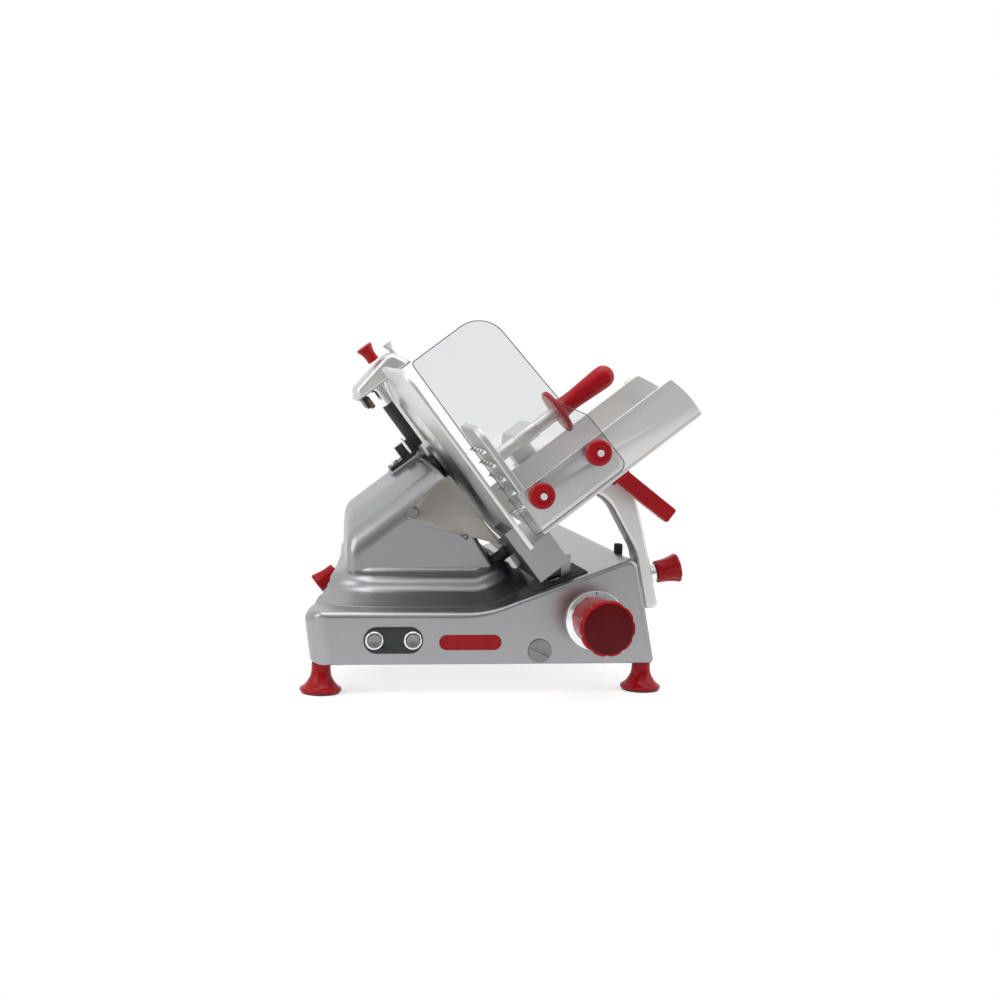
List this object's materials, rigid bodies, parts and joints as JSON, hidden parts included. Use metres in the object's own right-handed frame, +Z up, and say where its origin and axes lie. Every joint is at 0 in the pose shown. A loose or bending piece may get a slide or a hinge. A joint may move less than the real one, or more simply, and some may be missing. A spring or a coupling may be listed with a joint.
{
  "type": "electric food slicer",
  "caption": "Tilted-blade gravity-feed food slicer: cast base and tower, sliding tray with press and clear guard, thickness dial, push buttons, sharpener.",
  "frame": {"origin": "on the bench, below the middle of the overall box", "axes": "+X to the operator's right, +Y away from the operator, +Z up"},
  "size_m": [0.4934, 0.549, 0.4646],
  "materials": {
    "cast_aluminium": "satin cast and linished",
    "polished_steel": "polished",
    "brushed_sheet": "fine brushed",
    "warm_sheet": "matt",
    "red_plastic": "gloss moulded",
    "dark_plastic": "matt moulded",
    "black_steel": "blackened",
    "black_rubber": "matt",
    "circuit_board": "board",
    "clear_plastic": "clear moulded plastic",
    "abrasive": "bonded grit"
  },
  "bodies": {
    "housing": {"base_casting": "cast_aluminium", "bottom_cover": "polished_steel", "foot_front_left": "red_plastic", "foot_front_right": "red_plastic", "foot_rear_left": "red_plastic", "foot_rear_right": "red_plastic", "control_panel": "dark_plastic", "button_bezels": "polished_steel", "control_board": "circuit_board", "badge_plate": "red_plastic", "access_plug": "polished_steel", "dial_ring": "polished_steel", "gauge_seal": "black_rubber", "gauge_rod": "black_steel", "bearing_housing": "dark_plastic", "blade_bearings": "polished_steel", "blade_cover": "polished_steel", "ring_guard": "cast_aluminium", "slice_deflector": "warm_sheet", "deflector_screws": "polished_steel", "motor_body": "dark_plastic", "drive_belt": "black_rubber", "cable_gland": "dark_plastic", "carriage_rod": "polished_steel", "sharpener_sleeve": "dark_plastic"},
    "blade_unit": {"blade": "polished_steel", "blade_shaft": "polished_steel", "blade_screws": "polished_steel"},
    "motor_rotor": {"motor_shaft": "polished_steel"},
    "gauge": {"gauge_plate": "polished_steel", "gauge_carrier": "cast_aluminium"},
    "index": {"index_knob": "red_plastic", "index_shaft": "polished_steel"},
    "tie": {"tie_rod": "polished_steel", "tie_rod_knob": "red_plastic"},
    "start": {"start_button": "polished_steel"},
    "stop": {"stop_button": "polished_steel"},
    "carriage": {"carriage_slider": "cast_aluminium", "carriage_arm": "cast_aluminium", "tray_floor": "brushed_sheet", "tray_near_wall": "brushed_sheet", "tray_far_wall": "brushed_sheet", "carriage_handle": "red_plastic", "guard": "clear_plastic", "press_rod": "polished_steel"},
    "lock": {"lock_knob": "red_plastic"},
    "guard_knob_l": {"guard_knob_left": "red_plastic"},
    "guard_knob_r": {"guard_knob_right": "red_plastic"},
    "press_carriage": {"press_slider": "polished_steel"},
    "press": {"press_arm": "brushed_sheet", "press_plate": "brushed_sheet", "press_handle": "red_plastic"},
    "sharpener_mast": {"sharpener_post": "polished_steel"},
    "sharpener_head": {"sharpener_cap": "cast_aluminium", "stone_carrier": "dark_plastic"},
    "stone_a": {"grinding_stone": "abrasive"},
    "stone_b": {"deburring_stone": "abrasive"},
    "sharpener_grip": {"sharpener_knob": "red_plastic"},
    "deburr": {"deburr_button": "polished_steel"}
  },
  "joints": [
    {"name": "blade_spin", "type": "hinge", "parent": "housing", "child": "blade_unit", "pos_m": [-0.03167, 0.0725, 0.275], "axis": [0.788, 0, 0.6157], "continuous": true},
    {"name": "motor_spin", "type": "hinge", "parent": "housing", "child": "motor_rotor", "pos_m": [0.02682, 0.0725, 0.20014], "axis": [0.788, 0, 0.6157], "continuous": true},
    {"name": "gauge_slide", "type": "slide", "parent": "housing", "child": "gauge", "axis": [0.788, 0, 0.6157], "range_m": [-0.014, 0]},
    {"name": "index_turn", "type": "hinge", "parent": "housing", "child": "index", "pos_m": [0.12133, -0.1775, 0.094], "axis": [0, 1, 0], "range_deg": [0, 300]},
    {"name": "tie_turn", "type": "hinge", "parent": "housing", "child": "tie", "pos_m": [-0.16425, 0.21488, 0.10035], "axis": [0.788, 0, 0.6157], "range_deg": [0, 360]},
    {"name": "start_press", "type": "slide", "parent": "housing", "child": "start", "axis": [0, 1, 0], "range_m": [0, 0.0025], "stiffness_N_per_m": 400},
    {"name": "stop_press", "type": "slide", "parent": "housing", "child": "stop", "axis": [0, 1, 0], "range_m": [0, 0.0025], "stiffness_N_per_m": 400},
    {"name": "carriage_slide", "type": "slide", "parent": "housing", "child": "carriage", "axis": [0, 1, 0], "range_m": [0, 0.28]},
    {"name": "lock_turn", "type": "hinge", "parent": "carriage", "child": "lock", "pos_m": [0.21243, -0.1325, 0.14942], "axis": [0.9783, 0, 0.2071], "range_deg": [0, 360]},
    {"name": "guard_knob_left_turn", "type": "hinge", "parent": "carriage", "child": "guard_knob_l", "pos_m": [0.02656, -0.2575, 0.25894], "axis": [0, 1, 0], "range_deg": [0, 360]},
    {"name": "guard_knob_right_turn", "type": "hinge", "parent": "carriage", "child": "guard_knob_r", "pos_m": [0.09433, -0.2575, 0.31189], "axis": [0, 1, 0], "range_deg": [0, 360]},
    {"name": "press_slide", "type": "slide", "parent": "carriage", "child": "press_carriage", "axis": [0.788, 0, 0.6157], "range_m": [0, 0.15]},
    {"name": "press_swing", "type": "hinge", "parent": "press_carriage", "child": "press", "pos_m": [0.05378, -0.0135, 0.26308], "axis": [0.788, 0, 0.6157], "range_deg": [-75, 0]},
    {"name": "sharpener_lift", "type": "slide", "parent": "housing", "child": "sharpener_mast", "axis": [-0.6157, 0, 0.788], "range_m": [0, 0.04]},
    {"name": "sharpener_swivel", "type": "hinge", "parent": "sharpener_mast", "child": "sharpener_head", "pos_m": [-0.109, 0.0725, 0.34149], "axis": [-0.6157, 0, 0.788], "range_deg": [0, 180]},
    {"name": "stone_a_spin", "type": "hinge", "parent": "sharpener_head", "child": "stone_a", "pos_m": [-0.14011, 0.0615, 0.35208], "axis": [0.788, 0, 0.6157], "continuous": true},
    {"name": "stone_b_spin", "type": "hinge", "parent": "sharpener_head", "child": "stone_b", "pos_m": [-0.14011, 0.0835, 0.35208], "axis": [0.788, 0, 0.6157], "continuous": true},
    {"name": "sharpener_knob_turn", "type": "hinge", "parent": "sharpener_head", "child": "sharpener_grip", "pos_m": [-0.13633, 0.0725, 0.40896], "axis": [-0.6157, 0, 0.788], "range_deg": [0, 360]},
    {"name": "deburr_press", "type": "slide", "parent": "sharpener_head", "child": "deburr", "axis": [0.6157, 0, -0.788], "range_m": [0, 0.002], "stiffness_N_per_m": 300}
  ],
  "couplings": [
    {"joint": "motor_spin", "follows": "blade_spin", "ratio": 2},
    {"joint": "index_turn", "follows": "gauge_slide", "rad_per_m": -374},
    {"joint": "sharpener_swivel", "follows": "sharpener_lift", "rad_per_m": 78.54}
  ]
}
